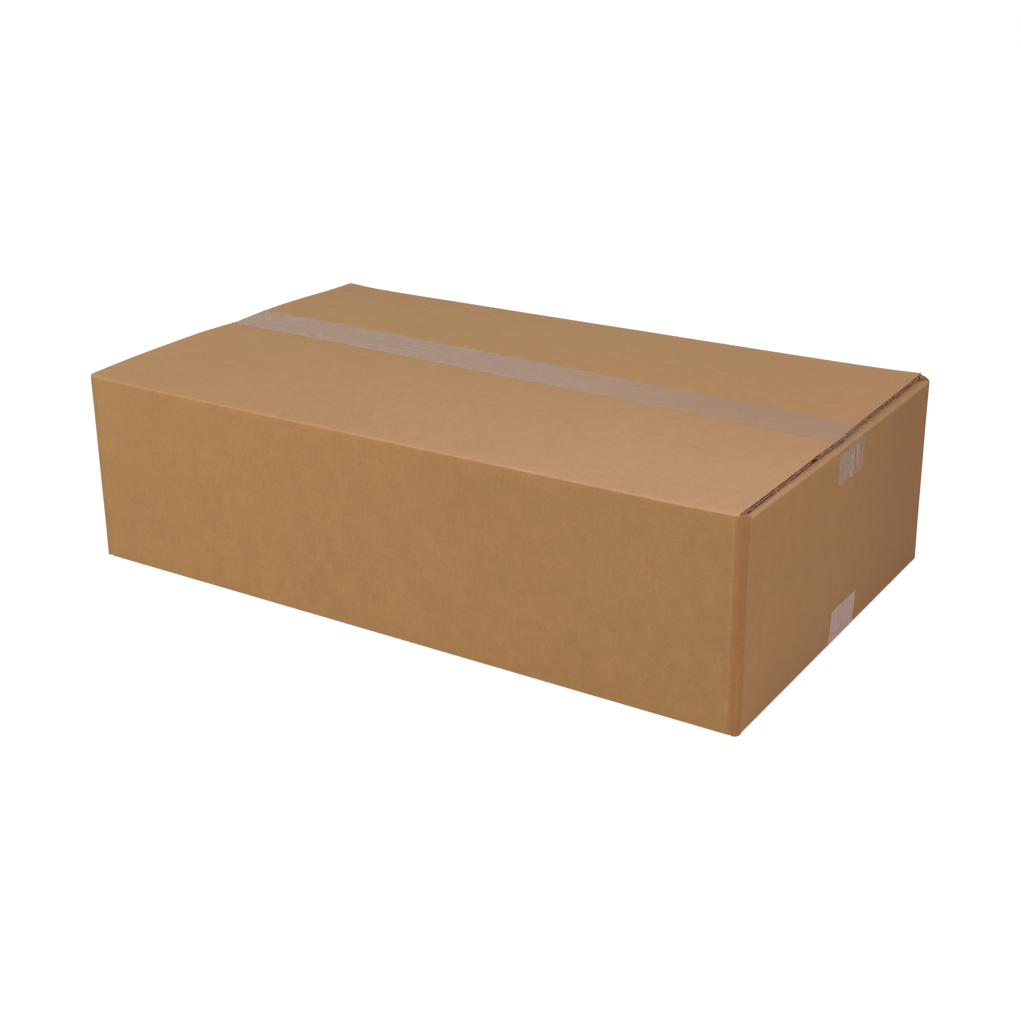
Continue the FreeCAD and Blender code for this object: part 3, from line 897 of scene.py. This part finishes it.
def tape_point(kind, side, share, y):
    """Place and outward direction of the film in the box's long section."""
    if kind == "lid":
        x, z = on_lid(share, y)
        return (x, z + LID_LIFT), (0, 1)
    turn_z = end_fold_height(side, y) - FOLD_RADIUS
    if kind == "tail":
        jagged = 0.5 * ragged(y, 6.2 + side, 1.0) * (1 - share) ** 4
        skew = END_SKEW * (30 - y) if side > 0 else 0
        z = TOP_TAPE_END[side] + (jagged + skew) * (1 - share) + share * (turn_z - TOP_TAPE_END[side])
        return (side * (board_end(side, y, z) + FILM_LIFT), z), (side, 0)
    radius = FOLD_RADIUS + FILM_LIFT
    last = math.radians(TURN_DEGREES)
    angle = last * (share if kind == "turn" else 1)
    x = side * (FOLD_REACH - FOLD_RADIUS + radius * math.cos(angle))
    z = turn_z + radius * math.sin(angle)
    if kind == "turn":
        return (x, z), (side * math.cos(angle), math.sin(angle))
    end_x, end_z = on_lid(1.0 if side > 0 else 0.0, y)
    sag = SAG * math.sin(math.pi * share)
    end_x += side * 0.15
    end_z += LID_LIFT
    return (
        (x + share * (end_x - x) - side * sag, z + share * (end_z - z) - sag * 0.6),
        (side * 0.75, 0.65),
    )


def upright(point, kind):
    """Which painted colour the haze takes: 1 on an end wall, 0 on the lid, below 0 at the lid's right end,
    where it is painted darker and greyer.
    """
    return 1.0 if kind in ("tail", "turn") else -0.85 * ease((point[0] - 80) / 200)


def film_sheet(name, stations, middle, point, haze_at, lift_at=lambda *place: 0.0):
    """A strip of film through the stations, closed on both faces.

    Marks on it say how milky it is at each point, and which colour the haze takes. Film this
    clear throws no shadow worth seeing, so its shadow is left out.
    """
    count = FILM_POINTS
    outer = np.zeros((len(stations), count, 3))
    inner = np.zeros_like(outer)
    haze = np.zeros((len(stations), count))
    for i, station in enumerate(stations):
        for j in range(count):
            off = TAPE_WIDTH * (j / (count - 1) - 0.5)
            y = middle(station) + off
            (x, z), (nx, nz) = point(*station, y)
            lift = lift_at(station, x, z, off)
            outer[i, j] = x + nx * (FILM + lift), y, z + nz * (FILM + lift)
            inner[i, j] = x + nx * lift, y, z + nz * lift
            haze[i, count - 1 - j] = haze_at(station, x, z, off)
    cells = np.ones((len(stations) - 1, count - 1), bool)
    marks = {
        "haze": lambda kind, i, j: haze[i, j],
        "upright": lambda kind, i, j: upright(outer[i, j], stations[i][0]),
    }
    strip = close_sheet(name, outer[:, ::-1], inner[:, ::-1], cells, marks=marks)
    strip.visible_shadow = False
    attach(strip, "root")
    return strip


# %% Top tape
AIR_BUBBLES = ((-283.0, 3.0, 2.2), (-262.0, 6.0, 1.5), (-258.0, 6.5, 1.2))
WRINKLE_FOOT = 9.8
WRINKLE_LEAN = 0.18
WRINKLE_WIDTH = 1.5
TAPE_RIGHT_Y = 6.2
TAPE_SLANT = 0.0279


def top_tape_middle(station):
    """Middle line of the top tape, which was laid a little askew."""
    kind, side, share = station
    x = LEFT_CUT + share * (RIGHT_CUT_FRONT[1] - LEFT_CUT) if kind == "lid" else side * 303
    return TAPE_RIGHT_Y + (301 - x) * TAPE_SLANT


def bubble(x, off):
    """1 on a small bubble of trapped air, and 0 away from them all."""
    return max(
        math.exp(-(((x - bubble_x) / (2.2 * size)) ** 2) - ((off - bubble_off) / size) ** 2)
        for bubble_x, bubble_off, size in AIR_BUBBLES
    )


def wrinkle(z, off):
    """1 on the slanting wrinkle in the tape's right end, and 0 away from it."""
    away = off - (WRINKLE_FOOT - WRINKLE_LEAN * (z - TOP_TAPE_END[1]))
    return math.exp(-((away / WRINKLE_WIDTH) ** 2))


def top_tape_lift(station, x, z, off):
    """Small ridges of trapped air, mostly lengthwise, that lift the film off the board."""
    kind, side, share = station
    if kind == "lid":
        ridge = noise.noise(Vector((x / 60, off / 3.5, 1.7)))
        return 0.12 * max(ridge - 0.15, 0) + 0.15 * bubble(x, off)
    if side > 0 and kind == "tail":
        return 0.05 * wrinkle(z, off) * ease(share * 8) * ease((1 - share) * 4)
    return 0.0


def top_tape_haze(station, x, z, off):
    """How milky the film is: clear where it is taut over the edges, streaked where it is rumpled. Its bubbles
    carry painted glints, and its wrinkle a painted shadow.
    """
    kind, side, share = station
    streak = noise.noise(Vector((off / (1.6 if kind == "lid" else 3.2), (x + z) / 45, 3.1)))
    if kind == "lid":
        fade = 1 - 0.57 * ease((x + 20) / 260)
        # Milky over the air bubbles, which carry painted glints.
        return fade * (0.95 + 0.35 * streak) + 1.6 * bubble(x, off)
    edge = 0.4 * ease((abs(off) - TAPE_WIDTH / 2 + 1.4) / 1.0)
    if kind == "bridge":
        return 0.12 + 0.3 * ease((share - 0.5) * 2)
    if kind == "turn":
        return 0.6 - 0.45 * share + edge * (1 - share)
    fine = noise.noise(Vector((off / 1.7, z / 30, 8.8)))
    # Cleared along the wrinkle, so the board shows dark: a painted shadow of its fold. The right side of the
    # end is clearer too.
    dark = wrinkle(z, off) + 0.4 * ease((off - 12) / 8) if side > 0 else 0
    tight = 0.6 * ease(1 - (1 - share) * 5)
    return (1.04 + 0.7 * streak + 0.5 * fine + edge - dark) * (1 - tight)


LID_SHARES = [0, 0.003, 0.008, *np.linspace(0.015, 0.985, 150), 0.992, 0.997, 1]
TOP_STATIONS = tape_stations(15, (0.2, 0.4, 0.6, 0.8), [("lid", 0, share) for share in LID_SHARES])
top_tape = film_sheet(
    "top_tape_film", TOP_STATIONS, top_tape_middle, tape_point, top_tape_haze, top_tape_lift
)
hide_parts("top_tape")


# %% Bottom tape
BASE_TAPE_Y = 5.2
BASE_TAPE_LEAN = 4.3


def base_tape_point(kind, side, share, y):
    """Place and outward direction of the bottom tape in the box's long section."""
    foot = FOLD_RADIUS + END_FOOT
    if kind == "base":
        x = BASE_CUT * (2 * share - 1)
        return (x, STRIP_LIFT - FILM_LIFT), (0, -1)
    if kind == "tail":
        z = BASE_TAPE_END[side] + share * (foot - BASE_TAPE_END[side])
        return (side * (board_end(side, y, z) + FILM_LIFT), z), (side, 0)
    angle = share * math.pi / 2
    x = side * (FOLD_REACH - FOLD_RADIUS + (FOLD_RADIUS + FILM_LIFT) * math.cos(angle))
    z = foot - (foot - STRIP_LIFT + FILM_LIFT) * math.sin(angle)
    return (x, z), (side * math.cos(angle), -math.sin(angle))


def base_tape_middle(station):
    """The bottom tape leans a little where it climbs the end walls."""
    kind, side, share = station
    return BASE_TAPE_Y + (BASE_TAPE_LEAN * (1 - share) if kind == "tail" else 0)


def base_tape_haze(station, x, z, off):
    """The bottom tape's haze is strong all over, a painted reflection of the pale floor, with slanting
    streaks and pale edges.
    """
    streak = noise.noise(Vector(((off + 0.4 * z) / 2.0, z / 25, 5.1)))
    edge = 0.5 * ease((abs(off) - TAPE_WIDTH / 2 + 1.4) / 1.0)
    return 1.5 + 0.3 * streak + edge


BASE_STATIONS = tape_stations(11, (), [("base", 0, share) for share in np.linspace(0, 1, 60)])
base_tape = film_sheet("bottom_tape_film", BASE_STATIONS, base_tape_middle, base_tape_point, base_tape_haze)
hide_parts("bottom_tape")

# %% [markdown]
# ## The camera
#
# The picture was taken from the front right, from a little above, with a long lens. The numbers come
# from fitting a camera to the box's long edges. The lens shift is small: it only says that the
# picture was cropped a little off its middle.

# %% Camera
AZIMUTH, ELEVATION, ROLL = 33.397, 20.352, -0.816
FOCAL_PIXELS = 1640.3
MIDDLE_PIXEL = (489.0, 458.7)
FRAME_PIXELS = 1021.0
CAMERA_PLACE = Vector((0.7170, -1.1156, 0.5839))


def make_camera():
    """The camera, turned and moved as the fit says."""
    azimuth, elevation, roll = (math.radians(a) for a in (AZIMUTH, ELEVATION, ROLL))
    level = math.cos(elevation)
    back = Vector((math.sin(azimuth) * level, -math.cos(azimuth) * level, math.sin(elevation)))
    right = Vector((0, 0, 1)).cross(back).normalized()
    up = back.cross(right)
    right, up = (
        right * math.cos(roll) + up * math.sin(roll),
        up * math.cos(roll) - right * math.sin(roll),
    )
    data = bpy.data.cameras.new("camera")
    data.sensor_width = 36.0
    data.lens = FOCAL_PIXELS / FRAME_PIXELS * data.sensor_width
    data.shift_x = 0.5 - MIDDLE_PIXEL[0] / FRAME_PIXELS
    data.shift_y = MIDDLE_PIXEL[1] / FRAME_PIXELS - 0.5
    data.clip_start, data.clip_end = 0.05, 50
    camera = bpy.data.objects.new("camera", data)
    turn = Matrix((right, up, back)).transposed().to_4x4()
    camera.matrix_world = Matrix.Translation(CAMERA_PLACE) @ turn
    bpy.context.scene.collection.objects.link(camera)
    bpy.context.scene.camera = camera
    print("lens", round(data.lens, 2), "mm, shift", round(data.shift_x, 4), round(data.shift_y, 4))


make_camera()

# %% [markdown]
# ## Floor and light
#
# The box stands in a white studio. A large floor of nearly white paint takes the soft shadow, and the
# world is white where the camera or a reflection sees it. The light on the box itself is plainer: a
# dim white sky, a broad lamp overhead, and three softboxes that stand near the box, so that their
# light falls off along it. The one on the right is a little pink, as light from warm walls is.

# %% Nodes
def new_material(name):
    """A material with its node tree emptied, and that tree."""
    material = bpy.data.materials.new(name)
    material.use_nodes = True
    material.node_tree.nodes.clear()
    return material, material.node_tree


def add_node(tree, kind, **settings):
    """A node with its settings. A setting named in_X sets the input socket X."""
    made = tree.nodes.new(kind)
    for name, value in settings.items():
        if name.startswith("in_"):
            made.inputs[name[3:].replace("_", " ")].default_value = value
        else:
            setattr(made, name, value)
    return made


def join(tree, start, start_socket, end, end_socket):
    """A link from an output of one node to an input of another."""
    tree.links.new(start.outputs[start_socket], end.inputs[end_socket])


def math_node(tree, operation, a, b=None, c=None):
    """A Math node on sockets or plain numbers, and its output socket."""
    made = add_node(tree, "ShaderNodeMath", operation=operation)
    for place, value in enumerate((a, b, c)):
        if isinstance(value, bpy.types.NodeSocket):
            tree.links.new(value, made.inputs[place])
        elif value is not None:
            made.inputs[place].default_value = value
    return made.outputs[0]


def srgb(red, green, blue):
    """A colour written as 0 to 255, in the linear form that shaders use."""
    linear = [((c / 255 + 0.055) / 1.055) ** 2.4 for c in (red, green, blue)]
    return (*linear, 1.0)


# %% Floor, world and lamps
WORLD_STRENGTH = 0.15
FLOOR_COLOUR = srgb(246, 246, 246)
FLOOR_GLOW = 0.65
FLOOR_WHITE = 1.3
FLOOR_REACH = 14.0
FLOOR_DROP = 0.0002
WHITE = (1.0, 1.0, 1.0)
PINK = (1.0, 0.74, 0.89)


def seen_directly(tree):
    """1 for rays from the camera, a reflection or a clear film, and 0 for the light itself."""
    path = add_node(tree, "ShaderNodeLightPath")
    mirrored = math_node(tree, "MAXIMUM", path.outputs["Is Camera Ray"], path.outputs["Is Glossy Ray"])
    return math_node(tree, "MAXIMUM", mirrored, path.outputs["Is Transmission Ray"])


def make_floor():
    """A wide sheet of pale paint, a hair below the box."""
    mesh = bpy.data.meshes.new("floor")
    corners = [(FLOOR_REACH * x, FLOOR_REACH * y, 0) for x, y in ((-1, -1), (1, -1), (1, 1), (-1, 1))]
    mesh.from_pydata(corners, [], [(0, 1, 2, 3)])
    floor = bpy.data.objects.new("floor", mesh)
    bpy.context.scene.collection.objects.link(floor)
    floor.location.z = -FLOOR_DROP
    material, tree = new_material("floor_paint")
    output = add_node(tree, "ShaderNodeOutputMaterial")
    paint = add_node(tree, "ShaderNodeBsdfDiffuse", in_Color=FLOOR_COLOUR)
    glow = add_node(tree, "ShaderNodeEmission", in_Color=(1, 1, 1, 1), in_Strength=FLOOR_WHITE)
    mix = add_node(tree, "ShaderNodeMixShader")
    tree.links.new(math_node(tree, "MULTIPLY", seen_directly(tree), FLOOR_GLOW), mix.inputs[0])
    join(tree, paint, "BSDF", mix, 1)
    join(tree, glow, "Emission", mix, 2)
    join(tree, mix, "Shader", output, "Surface")
    mesh.materials.append(material)


def make_world():
    """A dim white sky, which the camera and reflections see as white."""
    world = bpy.data.worlds.new("studio")
    bpy.context.scene.world = world
    world.use_nodes = True
    tree = world.node_tree
    tree.nodes.clear()
    output = add_node(tree, "ShaderNodeOutputWorld")
    sky = add_node(tree, "ShaderNodeBackground", in_Color=(1, 1, 1, 1), in_Strength=WORLD_STRENGTH)
    seen = add_node(tree, "ShaderNodeBackground", in_Color=(1, 1, 1, 1), in_Strength=1.0)
    mix = add_node(tree, "ShaderNodeMixShader")
    tree.links.new(seen_directly(tree), mix.inputs[0])
    join(tree, sky, 0, mix, 1)
    join(tree, seen, 0, mix, 2)
    join(tree, mix, 0, output, "Surface")


def place_lamp(name, data, place, towards):
    """Put a lamp at a place, with its back turned towards a direction."""
    lamp = bpy.data.objects.new(name, data)
    lamp.location = place
    lamp.rotation_mode = "QUATERNION"
    lamp.rotation_quaternion = Vector(towards).to_track_quat("Z", "Y")
    lamp.visible_camera = False
    bpy.context.scene.collection.objects.link(lamp)


def make_sun(name, towards, strength, spread):
    """A lamp so far away that its light is even. towards is the direction to the lamp."""
    data = bpy.data.lights.new(name, "SUN")
    data.energy = strength
    data.angle = math.radians(spread)
    place_lamp(name, data, (0, 0, 0), towards)


def make_softbox(name, place, aim, size, power, colour=WHITE):
    """A square lamp near the box, aimed at a point of it."""
    data = bpy.data.lights.new(name, "AREA")
    data.energy = power
    data.color = colour
    data.size = size
    place_lamp(name, data, place, Vector(place) - Vector(aim))


make_floor()
make_world()
make_sun("overhead", towards=(-0.1, -0.1, 1.0), strength=1.05, spread=50)
make_softbox("left_box", place=(-1.25, -1.15, 0.88), aim=(-0.2, -0.1, 0.1), size=0.9, power=11.0)
make_softbox("front_box", place=(0.35, -0.95, 1.25), aim=(0.1, -0.05, 0.15), size=0.8, power=3.0)
make_softbox("right_box", place=(0.9, -0.7, 1.2), aim=(0.2, -0.1, 0.15), size=0.8, power=8.8, colour=PINK)
print("lamps:", [lamp.name for lamp in bpy.data.lights])

# %% [markdown]
# ## Kraft paper
#
# Brown kraft liner is made from short fibres, so from close by it is speckled, with fine streaks that
# run round the box, and from further off it is cloudy. The flutes under it show as a faint washboard
# of upright lines, in the relief and as a faint painted shade. All of this is one brightness factor,
# built from noise at four scales, that multiplies a single brown. Near the folds the factor is a little
# higher, partly wear and partly painted highlight. The brown itself is tinted where the mesh carries a
# mark for it: painted shade on the upright creases, with painted highlight lines beside them, painted
# shade on the front wall towards its right end and on the right end wall towards the back, a darker
# tone on the end flaps' shoulders, and a pale painted sheen on the lid. Inside the channels of the cut
# ends hardly any light comes back, so painted shade darkens the paper there.

# %% Kraft paper
KRAFT = srgb(168, 130, 81)
RAW_EDGE = srgb(196, 156, 116)
# The pale colour of the lid's painted sheen.
SHEEN_TINT = (0.95, 0.80, 0.70, 1.0)
FOLD_WEAR_AND_HIGHLIGHT = 0.03
HOLLOW_SHADE = -0.9
RIB_SHADE = 0.006
TINTS = {
    # Painted shade on the upright creases, with painted highlight lines beside them.
    "creased": (0.84, 0.79, 0.76, 1.0),
    # Painted shade on the front wall towards its right end; the end flaps' shoulders darker.
    "painted_shade_and_shoulder_tone": (0.88, 0.91, 0.92, 1.0),
    # Painted shade, darker and redder, on the right end wall towards the back.
    "end_wall_painted_shade": (0.91, 0.82, 0.77, 1.0),
}


def add_noise(tree, vector, scale, detail, roughness=0.5):
    """A noise texture and its output socket."""
    made = add_node(tree, "ShaderNodeTexNoise", in_Scale=scale, in_Detail=detail, in_Roughness=roughness)
    tree.links.new(vector, made.inputs["Vector"])
    return made.outputs["Fac"]


def swing_of(tree, fac, share):
    """A factor that swings about 1 by the given share, from a noise that swings about a half."""
    return math_node(tree, "MULTIPLY_ADD", fac, 2 * share, 1 - share)


def mark_of(tree, name):
    """A mark that was kept on the mesh."""
    return add_node(tree, "ShaderNodeAttribute", attribute_name=name).outputs["Fac"]


def new_surface(name, **settings):
    """A material with one Principled shader, its node tree and that shader."""
    material, tree = new_material(name)
    output = add_node(tree, "ShaderNodeOutputMaterial")
    shader = add_node(tree, "ShaderNodeBsdfPrincipled", **settings)
    join(tree, shader, "BSDF", output, "Surface")
    return material, tree, shader


def blend(tree, kind, amount, first, second):
    """Two colours mixed, or multiplied, by an amount. The first is a socket or a plain colour."""
    made = add_node(tree, "ShaderNodeMix", data_type="RGBA", blend_type=kind, clamp_factor=False)
    tree.links.new(amount, made.inputs[0])
    if isinstance(first, bpy.types.NodeSocket):
        tree.links.new(first, made.inputs[6])
    else:
        made.inputs[6].default_value = first
    made.inputs[7].default_value = second
    return made.outputs[2]


def paint(tree, shader, colour, factor):
    """Give a shader a base colour: a colour times a brightness factor."""
    made = add_node(tree, "ShaderNodeVectorMath", operation="SCALE")
    tree.links.new(colour, made.inputs[0])
    tree.links.new(factor, made.inputs["Scale"])
    join(tree, made, "Vector", shader, "Base Color")


def emboss(tree, shader, height, strength, distance):
    """Give a shader a fine relief."""
    bump = add_node(tree, "ShaderNodeBump", in_Strength=strength, in_Distance=distance)
    tree.links.new(height, bump.inputs["Height"])
    join(tree, bump, "Normal", shader, "Normal")


def scaled_by(tree, factor, mark, share):
    """A factor times 1 plus a share of a mark."""
    return math_node(tree, "MULTIPLY", factor, math_node(tree, "MULTIPLY_ADD", mark, share, 1.0))


# %% Paper of the faces and of the cut edges
def kraft_material(name, colour, flutes):
    """Kraft paper of a colour, with or without the washboard of the flutes."""
    material, tree, shader = new_surface(name, in_Specular_IOR_Level=0.15)
    world_place = add_node(tree, "ShaderNodeTexCoord").outputs["Object"]
    round_box = mark_of(tree, "round_box")
    fibre_place = add_node(tree, "ShaderNodeCombineXYZ")
    tree.links.new(math_node(tree, "MULTIPLY", round_box, 500), fibre_place.inputs["X"])
    tree.links.new(math_node(tree, "MULTIPLY", mark_of(tree, "up_sheet"), 1500), fibre_place.inputs["Y"])
    clouds = add_noise(tree, world_place, 11, 2)
    mottle = add_noise(tree, world_place, 90, 3, 0.6)
    fibres = add_noise(tree, fibre_place.outputs["Vector"], 1.0, 3, 0.7)
    grain = add_noise(tree, world_place, 620, 2, 0.6)
    factor = swing_of(tree, clouds, 0.05)
    for fac, share in ((mottle, 0.13), (fibres, 0.12), (grain, 0.14)):
        factor = math_node(tree, "MULTIPLY", factor, swing_of(tree, fac, share))
    # Painted shade in the channels, slots and fluted papers, by how deep a point lies.
    painted_hollow_shade = math_node(tree, "MULTIPLY_ADD", mark_of(tree, "deep"), 9.0, -0.1)
    painted_hollow_shade = math_node(tree, "MINIMUM", math_node(tree, "MAXIMUM", painted_hollow_shade, 0.0), 1.0)
    # A little lighter near the folds: partly wear, partly painted highlight.
    factor = scaled_by(tree, factor, mark_of(tree, "fold_wear_and_highlight"), FOLD_WEAR_AND_HIGHLIGHT)
    factor = scaled_by(tree, factor, painted_hollow_shade, HOLLOW_SHADE)
    height = math_node(tree, "MULTIPLY", math_node(tree, "ADD", fibres, grain), 0.5)
    if flutes:
        waves = math_node(tree, "MULTIPLY", round_box, 2 * math.pi / (FLUTE_PITCH * MM))
        ribs = math_node(tree, "SINE", waves)
        # Faint painted shade of the washboard, beside its relief in the bump.
        factor = scaled_by(tree, factor, ribs, RIB_SHADE)
        height = math_node(tree, "MULTIPLY_ADD", ribs, 0.35, height)
    shade = colour
    for mark, tint in TINTS.items():
        shade = blend(tree, "MULTIPLY", mark_of(tree, mark), shade, tint)
    # The lid's pale painted sheen.
    shade = blend(tree, "MIX", mark_of(tree, "lid_painted_sheen"), shade, SHEEN_TINT)
    paint(tree, shader, shade, factor)
    tree.links.new(math_node(tree, "MULTIPLY_ADD", mottle, 0.2, 0.6), shader.inputs["Roughness"])
    emboss(tree, shader, height, 0.35, 0.00012)
    print(name, "has", len(tree.nodes), "nodes")
    return material


def cover(piece, face_material, rim_material):
    """Give a piece a material for its faces and one for its rim."""
    piece.data.materials.append(face_material)
    piece.data.materials.append(rim_material)


KRAFT_PAPER = kraft_material("kraft_paper", KRAFT, True)
CUT_PAPER = kraft_material("cut_paper", RAW_EDGE, False)
cover(carton, KRAFT_PAPER, CUT_PAPER)
for paper in FLUTES:
    cover(paper, CUT_PAPER, CUT_PAPER)

# %% [markdown]
# ## Clear film
#
# Packing tape is polypropylene film with a thin coat of adhesive. It takes a little colour out of the
# board under it and adds a soft gloss. Trapped air shows as milky streaks along the strip. The film is
# partly see-through, and what it adds is a pale haze. How milky it is comes from a mark on the mesh,
# and so does the haze's colour, which differs between the lid and the end walls. That difference is
# painted light: one film is given a darker haze on the lid and a paler one on the end walls, and the
# bottom tape's pale haze there is a painted reflection of the floor. Over small bubbles of air the
# film carries painted glints, and along a wrinkle it is cleared as a painted shadow of the fold.

# %% Clear film
# Painted light: one film's haze is given a darker colour on the lid and a paler one on the end walls.
FILM_ON_LID = (0.375, 0.31, 0.255)
FILM_ON_END = (0.50, 0.405, 0.26)
# Paler still on the bottom tape's ends: a painted reflection of the pale floor.
BASE_FILM_FLOOR_REFLECTION = (0.63, 0.49, 0.385)
TOP_OPACITY = 0.33
BASE_OPACITY = 0.30
LEAST_OPACITY = 0.02


def film_material(name, opacity, flat_colour, upright_colour):
    """Film whose haze has one colour where it lies flat and another where it stands upright: painted lit and
    shaded colours of one film.
    """
    material, tree, shader = new_surface(name, in_IOR=1.48, in_Specular_IOR_Level=0.28)
    place = add_node(tree, "ShaderNodeTexCoord").outputs["Object"]
    stretched = add_node(tree, "ShaderNodeVectorMath", operation="MULTIPLY")
    tree.links.new(place, stretched.inputs[0])
    stretched.inputs[1].default_value = (9, 300, 60)
    streaks = add_noise(tree, stretched.outputs[0], 1.0, 3, 0.6)
    specks = add_noise(tree, place, 700, 2)
    haze = blend(tree, "MIX", mark_of(tree, "upright"), (*flat_colour, 1), (*upright_colour, 1))
    paint(tree, shader, haze, swing_of(tree, specks, 0.06))
    milky = math_node(tree, "MULTIPLY", mark_of(tree, "haze"), swing_of(tree, streaks, 0.35))
    milky = math_node(tree, "MULTIPLY", milky, opacity)
    tree.links.new(math_node(tree, "MAXIMUM", milky, LEAST_OPACITY), shader.inputs["Alpha"])
    tree.links.new(math_node(tree, "MULTIPLY_ADD", streaks, 0.25, 0.2), shader.inputs["Roughness"])
    emboss(tree, shader, streaks, 0.4, 0.0002)
    print(name, "has", len(tree.nodes), "nodes")
    return material


TOP_FILM = film_material("clear_film", TOP_OPACITY, FILM_ON_LID, FILM_ON_END)
BASE_FILM = film_material("bottom_film_painted_reflection", BASE_OPACITY, FILM_ON_LID, BASE_FILM_FLOOR_REFLECTION)
cover(top_tape, TOP_FILM, TOP_FILM)
cover(base_tape, BASE_FILM, BASE_FILM)

# %% Finish
bpy.context.scene.view_settings.view_transform = "Standard"
bpy.context.view_layer.update()
